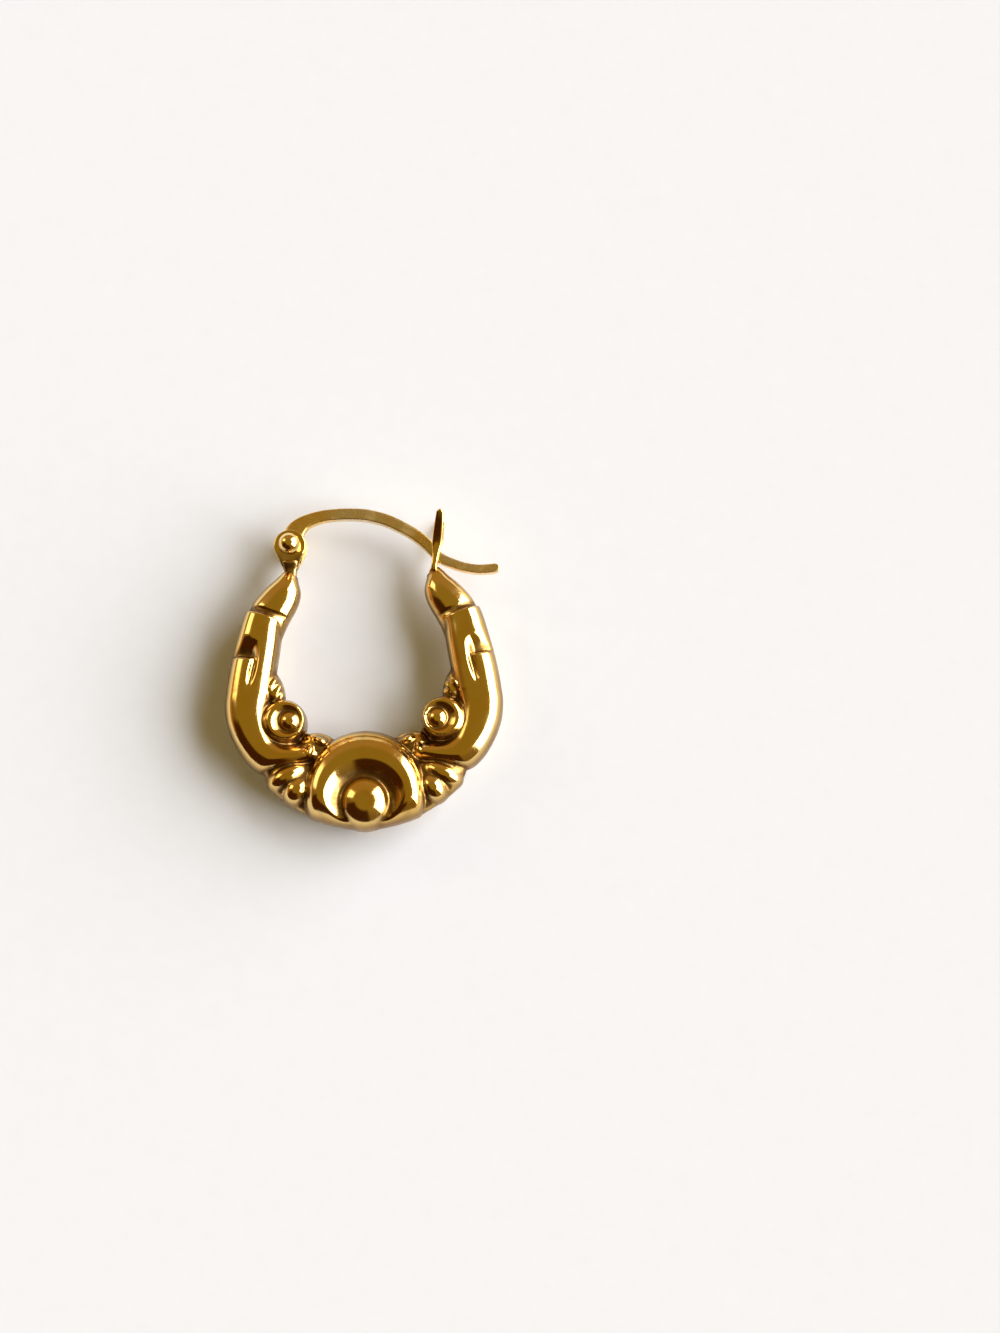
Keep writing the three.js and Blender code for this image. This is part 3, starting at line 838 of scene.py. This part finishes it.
# Each row is a place on the ear wire from the hinge: along as a share of the distance to the
# catch, rise as a share of the wire's height over the rivet, width as a share of the full width.
WIRE_ROUTE = np.array(
    [
        (0.015, 0.3, 1.75),
        (0.05, 0.58, 1.5),
        (0.115, 0.8, 1.14),
        (0.223, 0.95, 1.0),
        (0.345, 1.0, 1.0),
        (0.45, 0.995, 1.0),
        (0.545, 0.95, 1.0),
        (0.665, 0.8, 1.0),
        (0.761, 0.6, 1.0),
        (0.842, 0.395, 0.98),
        (0.904, 0.194, 0.98),
        (0.962, -0.04, 0.95),
        (1.016, -0.32, 0.88),
        (1.065, -0.5, 0.82),
        (1.132, -0.64, 0.8),
        (1.208, -0.76, 0.78),
        (1.304, -0.84, 0.78),
        (1.401, -0.83, 0.78),
        (1.455, -0.79, 0.74),
    ],
    dtype=[("along", float), ("rise", float), ("width", float)],
)

# The wire's rings, the half width where its round end begins as a share of the full width, and
# how square its section is
WIRE_STEPS = 260
WIRE_TIP = 0.37
WIRE_CORNER = 6.0

# The drilled disc: how round its edge is, the rings that round it, and the room in its hole
# round the rivet
DISC_EDGE = 0.1
DISC_RINGS = 6
HOLE_CLEARANCE = 0.05


def ear_wire():
    """The flat bent wire and the drilled disc that turns on the rivet between the cheeks."""
    rows = np.stack([WIRE_ROUTE[name] for name in WIRE_ROUTE.dtype.names], axis=1)
    along, rise, width = smooth_rows(rows, WIRE_STEPS).T
    x = RIVET[0] + along * 2 * NECK_X
    path = np.stack([x, RIVET[1] + rise * WIRE_RISE, np.zeros(WIRE_STEPS)], axis=1)
    width = width * WIRE_WIDTH * round_end(path, WIRE_WIDTH * WIRE_TIP)
    half = WIRE_THICKNESS / 2
    angle = np.linspace(0, np.pi / 2, DISC_RINGS)
    hole = RIVET_RADIUS + HOLE_CLEARANCE
    radius = np.concatenate([[hole], HINGE_DISC_RADIUS - DISC_EDGE * (1 - np.sin(angle))])
    z = np.concatenate([[half], half - DISC_EDGE * (1 - np.cos(angle))])
    radius = np.concatenate([radius, radius[::-1], [hole]])
    disc = turned(radius, np.concatenate([z, -z[::-1], [half]]), RIVET)
    return [bar(path, width, WIRE_THICKNESS, WIRE_CORNER, around=36), disc]


class Shade:
    """A shader socket that builds Math nodes from Python operators."""

    def __init__(self, tree, socket):
        self.tree = tree
        self.socket = socket

    def math(self, operation, other, swapped=False, third=None):
        node = self.tree.nodes.new("ShaderNodeMath")
        node.operation = operation
        values = [other, self] if swapped else [self, other]
        if third is not None:
            values.append(third)
        for socket, value in zip(node.inputs, values):
            if isinstance(value, Shade):
                self.tree.links.new(value.socket, socket)
            else:
                socket.default_value = value
        return Shade(self.tree, node.outputs[0])

    def __add__(self, other):
        return self.math("ADD", other)

    def __sub__(self, other):
        return self.math("SUBTRACT", other)

    def __mul__(self, other):
        return self.math("MULTIPLY", other)

    def __rsub__(self, other):
        return self.math("SUBTRACT", other, swapped=True)

    __radd__ = __add__
    __rmul__ = __mul__


class Nodes:
    """A node tree under construction."""

    def __init__(self, tree):
        self.tree = tree

    def node(self, kind, settings=None, **inputs):
        """One node: its settings first, then values or links for its named sockets."""
        node = self.tree.nodes.new(kind)
        for key, value in (settings or {}).items():
            setattr(node, key, value)
        for key, value in inputs.items():
            self.put(node.inputs[key.replace("_", " ")], value)
        return node

    def put(self, socket, value):
        """Sets a socket to a value, or links it to a Shade or to another socket."""
        if isinstance(value, Shade):
            self.tree.links.new(value.socket, socket)
        elif isinstance(value, bpy.types.NodeSocket):
            self.tree.links.new(value, socket)
        else:
            socket.default_value = value

    def ramp(self, value, low, high):
        """0 below low, 1 above high and smooth between."""
        node = self.node("ShaderNodeMapRange", {"interpolation_type": "SMOOTHSTEP"})
        self.put(node.inputs["Value"], value)
        node.inputs["From Min"].default_value = low
        node.inputs["From Max"].default_value = high
        return Shade(self.tree, node.outputs["Result"])

    def mix(self, factor, first, second):
        """A colour between two colours."""
        node = self.node("ShaderNodeMix", {"data_type": "RGBA"})
        self.put(node.inputs[0], factor)
        self.put(node.inputs[6], first)
        self.put(node.inputs[7], second)
        return node.outputs[2]


class Finish(Nodes):
    """A material under construction."""

    def __init__(self, name):
        self.material = bpy.data.materials.new(name)
        self.material.use_nodes = True
        super().__init__(self.material.node_tree)
        self.shader = self.tree.nodes["Principled BSDF"]
        self.place = self.node("ShaderNodeTexCoord").outputs["Object"]

    def noise(self, scale, detail=3.0, roughness=0.55, stretch=(1, 1, 1), turn=(0, 0, 0)):
        """Noise in the piece's own place, between 0 and 1."""
        mapping = self.node("ShaderNodeMapping", Vector=self.place, Scale=stretch, Rotation=turn)
        noise = self.node(
            "ShaderNodeTexNoise",
            Vector=mapping.outputs[0],
            Scale=scale,
            Detail=detail,
            Roughness=roughness,
        )
        return Shade(self.tree, noise.outputs["Fac"])

    def attribute(self, name):
        """A number that each point of the mesh carries."""
        node = self.node("ShaderNodeAttribute", {"attribute_name": name})
        return Shade(self.tree, node.outputs["Fac"])


GOLD = (0.96, 0.68, 0.26, 1.0)
DEEP_GOLD = (0.93, 0.6, 0.17, 1.0)
PALE_GOLD = (0.95, 0.73, 0.34, 1.0)
WIRE_GOLD = (0.9, 0.72, 0.46, 1.0)
# Painted shade for the steep sides, dimming the floor's reflection in them
FLANK_SHADE_TONE = (0.27, 0.155, 0.06, 1.0)
# Dark patina with painted shade, for the creases and the foot of the hinge
PATINA_AND_SHADE_TONE = (0.14, 0.055, 0.01, 1.0)


# How fine each pattern on the gold is, as the scale of its noise
GRAIN = {
    "drift": 260.0,
    "patches": 900.0,
    "hairlines": 2600.0,
    "crossing": 2400.0,
    "patina_and_shade": 1500.0,
    "flank": 700.0,
    "swell": 300.0,
}

# How much paler the worn patches are, and how far the patina and painted shade cover a full crease
PATCH_PALENESS = 0.5
PATINA_AND_SHADE_COVER = 0.85

# What each mark adds to the roughness
DULLING = {"patches": 0.08, "scratches": 0.07, "patina_and_shade": 0.22, "flank": 0.18}

# How high the soft swell of the surface stands, and how deep the scratches in it are
SWELL_HEIGHT = 0.9
SCRATCH_DEPTH = 0.05


def worn_gold(name, base, roughness, wear):
    """Polished gold that has been worn: its colour drifts slowly, fine hairlines run in two
    directions over faint dull patches, the creases hold a dark, dull patina with painted shade,
    the foot of the hinge holds painted shade, and the steep sides carry painted shade that dims
    the floor's reflection."""
    finish = Finish(name)
    drift = finish.ramp(finish.noise(GRAIN["drift"], detail=2.0), 0.35, 0.68)
    patches = finish.ramp(finish.noise(GRAIN["patches"], detail=4.0), 0.5, 0.74)
    hairlines = finish.noise(GRAIN["hairlines"], 2.0, stretch=(1, 14, 1), turn=(0, 0, 0.5))
    crossing = finish.noise(GRAIN["crossing"], 2.0, stretch=(12, 1, 1), turn=(0, 0, -0.35))
    scratches = finish.ramp(hairlines, 0.6, 0.76) + finish.ramp(crossing, 0.62, 0.78)
    # Patina with painted shade in the creases, and painted shade in the hinge's foot, broken by
    # noise
    patina_and_shade = finish.attribute("hollow") * finish.ramp(finish.noise(GRAIN["patina_and_shade"]), 0.2, 0.55)
    # Painted shade on the steep sides, uneven by noise, to dim the floor's reflection
    flank = finish.attribute("flank") * (finish.noise(GRAIN["flank"]) * 0.5 + 0.6)
    warm = finish.mix(drift, base, DEEP_GOLD)
    worn = finish.mix(patches * (PATCH_PALENESS * wear), warm, PALE_GOLD)
    # Painted shade laid over the steep sides
    shaded_flanks = finish.mix(flank, worn, FLANK_SHADE_TONE)
    # Patina and painted shade laid into the creases and the hinge's foot
    with_patina_and_shade = finish.mix(patina_and_shade * PATINA_AND_SHADE_COVER, shaded_flanks, PATINA_AND_SHADE_TONE)
    finish.put(finish.shader.inputs["Base Color"], with_patina_and_shade)
    finish.put(
        finish.shader.inputs["Roughness"],
        patches * (DULLING["patches"] * wear)
        + scratches * (DULLING["scratches"] * wear)
        + patina_and_shade * DULLING["patina_and_shade"]
        + flank * DULLING["flank"]
        + roughness,
    )
    finish.shader.inputs["Metallic"].default_value = 1.0
    swell = finish.noise(GRAIN["swell"], detail=1.0)
    bump = finish.node("ShaderNodeBump", Strength=0.4, Distance=0.00004)
    relief = swell * SWELL_HEIGHT - scratches * (SCRATCH_DEPTH * wear)
    finish.put(bump.inputs["Height"], relief)
    finish.put(finish.shader.inputs["Normal"], bump.outputs[0])
    return finish.material


def floor_material():
    """Plain pale paper with a faint grain."""
    finish = Finish("pale_paper")
    grain = finish.noise(700.0, detail=3.0)
    finish.put(
        finish.shader.inputs["Base Color"],
        finish.mix(grain, (0.755, 0.79, 0.86, 1), (0.79, 0.825, 0.9, 1)),
    )
    finish.shader.inputs["Roughness"].default_value = 0.9
    finish.shader.inputs["Specular IOR Level"].default_value = 0.15
    return finish.material


# The photograph's frame and where the earring lies in it
IMAGE_WIDTH = 1000
IMAGE_HEIGHT = 1333
MM_PER_PIXEL = 0.0681
HOOP_PIXEL = (364.2, 700.8)
CAMERA_DISTANCE = 190.0
CAMERA_TILT = math.radians(11.0)
CAMERA_ROLL = math.radians(-1.34)
SENSOR = 36.0


def make_camera():
    """Looks down on the floor from a little below the earring in the picture. The lens and the
    distance give the photograph's scale, and the camera slides sideways to frame it."""
    data = bpy.data.cameras.new("camera")
    data.sensor_width = SENSOR
    data.lens = SENSOR * CAMERA_DISTANCE / (IMAGE_HEIGHT * MM_PER_PIXEL)
    camera = bpy.data.objects.new("camera", data)
    turn = Euler((CAMERA_TILT, 0, 0)).to_matrix() @ Euler((0, 0, CAMERA_ROLL)).to_matrix()
    right = (IMAGE_WIDTH / 2 - HOOP_PIXEL[0]) * MM_PER_PIXEL * MM
    up = (HOOP_PIXEL[1] - IMAGE_HEIGHT / 2) * MM_PER_PIXEL * MM
    aim = Vector(HOOP_MIDDLE.tolist()) + turn @ Vector((right, up, 0))
    camera.location = aim + turn @ Vector((0, 0, CAMERA_DISTANCE * MM))
    camera.rotation_euler = turn.to_euler()
    data.clip_start = 0.005
    data.clip_end = 5.0
    bpy.context.scene.collection.objects.link(camera)
    bpy.context.scene.camera = camera


# Half the floor's width, in metres
FLOOR_HALF = 0.6


def make_floor():
    """A pale sheet, far wider than the picture."""
    half = FLOOR_HALF
    mesh = bpy.data.meshes.new("floor")
    corners = [(-half, -half, 0), (half, -half, 0), (half, half, 0), (-half, half, 0)]
    mesh.from_pydata(corners, [], [(0, 1, 2, 3)])
    mesh.materials.append(floor_material())
    floor = bpy.data.objects.new("floor", mesh)
    bpy.context.scene.collection.objects.link(floor)


OVERHEAD = (0.258, 0.176, 0.026, 1)
WALLS = (0.195, 0.12, 0.025, 1)
SHADE = (0.045, 0.014, 0.003, 1)
BACK_WALL = (0.34, 0.21, 0.06, 1)
GLOW = (0.5, 0.24, 0.08, 1)
LAMP = (2.2, 1.9, 1.3, 1)
WINDOW = (7.0, 6.95, 6.9, 1)

# Where the walls turn into the ceiling, in degrees of elevation
CEILING = (25.0, 54.0)

# Patches of light and shade, laid over each other in this order: the middle and the half width in
# azimuth, the low and the high end in elevation, the blur of the edges, all in degrees, and the
# colour
PATCHES = [
    (-127.0, 51.0, -30.0, 55.0, 6.0, SHADE),
    (95.0, 45.0, -10.0, 50.0, 10.0, BACK_WALL),
    (174.0, 18.0, -20.0, 12.0, 6.0, GLOW),
    (150.0, 12.0, 16.0, 44.0, 4.0, LAMP),
    (8.0, 42.0, 3.0, 51.0, 2.5, WINDOW),
]


def make_studio():
    """Soft light by direction, worked out from azimuth, 0 at the right and 90 at the top of the
    picture, and elevation in degrees: a wide low window on the right, a lamp at the upper left, a
    warm wall at the top, a low warm glow on the left and shade at the bottom of the picture,
    under a plain ceiling."""
    world = bpy.data.worlds.new("studio")
    bpy.context.scene.world = world
    world.use_nodes = True
    studio = Nodes(world.node_tree)
    background = studio.tree.nodes["Background"]
    direction = studio.node("ShaderNodeTexCoord").outputs["Generated"]
    parts = studio.node("ShaderNodeSeparateXYZ", Vector=direction)
    x, y, z = (Shade(studio.tree, parts.outputs[k]) for k in range(3))
    azimuth = y.math("ARCTAN2", x).math("DEGREES", 0.0)
    elevation = z.math("ARCSINE", 0.0).math("DEGREES", 0.0)

    def patch(middle, half, low, high, blur):
        """1 inside a stretch of azimuth and elevation, 0 outside, with blurred edges."""
        away = (azimuth - middle).math("WRAP", 180.0, third=-180.0).math("ABSOLUTE", 0.0)
        sides = studio.ramp(away, half + blur, half - blur)
        ends = studio.ramp(elevation, low - blur, low + blur)
        return sides * ends * studio.ramp(elevation, high + blur, high - blur)

    colour = studio.mix(studio.ramp(elevation, *CEILING), WALLS, OVERHEAD)
    for *stretch, tint in PATCHES:
        colour = studio.mix(patch(*stretch), colour, tint)
    studio.put(background.inputs["Color"], colour)
    bpy.context.scene.view_settings.view_transform = "Standard"


def build_hoop(material):
    """The stamped hoop, and the two forks that are soldered to its necks."""
    # The second result is how deep each point lies in a crease, which paints patina and painted
    # shade
    skin, hollow = hoop_skin()
    # Painted shade on the steep sides, where the bright floor would be reflected
    flank = 1 - step_up(np.abs(facing_up(skin)), *FLANK_SHADE)
    make_piece(
        "hoop", [skin], "hoop", "hoop_gold", material, "hoop_body", hollow=hollow, flank=flank
    )
    # The foot of the hinge gets painted shade, darker under the rivet
    make_piece(
        "hinge_fork", hinge_fork(), "hoop", "hoop_gold", material, "hoop_body", hollow=hinge_shade
    )
    make_piece("catch_fork", catch_fork(), "hoop", "hoop_gold", material, "hoop_body")


make_camera()
hoop_gold = worn_gold("hoop_gold", GOLD, roughness=0.1, wear=0.8)
rivet_gold = worn_gold("rivet_gold", GOLD, roughness=0.1, wear=1.0)
wire_gold = worn_gold("wire_gold", WIRE_GOLD, roughness=0.27, wear=1.6)
build_hoop(hoop_gold)
make_piece("rivet_balls", [rivet()], "hoop", "rivet_gold", rivet_gold, "hinge_rivet")
make_piece("ear_wire_bent", ear_wire(), "ear_wire", "wire_gold", wire_gold, "ear_wire")
make_floor()
make_studio()
